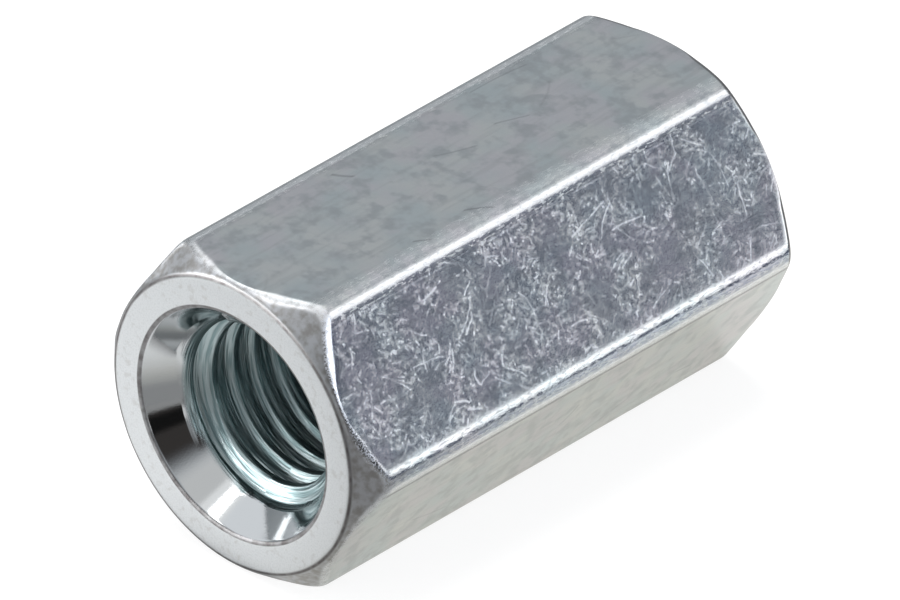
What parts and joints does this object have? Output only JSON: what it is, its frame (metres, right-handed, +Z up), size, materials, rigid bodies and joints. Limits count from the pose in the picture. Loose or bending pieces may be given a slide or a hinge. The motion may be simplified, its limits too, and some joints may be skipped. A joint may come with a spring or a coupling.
{
  "type": "coupling nut",
  "caption": "Long hexagonal nut with a thread right through, chamfered and countersunk at both ends, for joining two threaded rods end to end.",
  "frame": {"origin": "on the bore's axis, halfway along the nut", "axes": "+Y along the bore, away from the end with the larger chamfer; +Z up, square to the flat that the nut lies on"},
  "size_m": [0.0214, 0.036, 0.019],
  "materials": {
    "zinc_plated_steel": "bright zinc plating, scuffed and speckled from tumbling"
  },
  "bodies": {
    "root": {"coupling_nut": "zinc_plated_steel"}
  },
  "joints": []
}
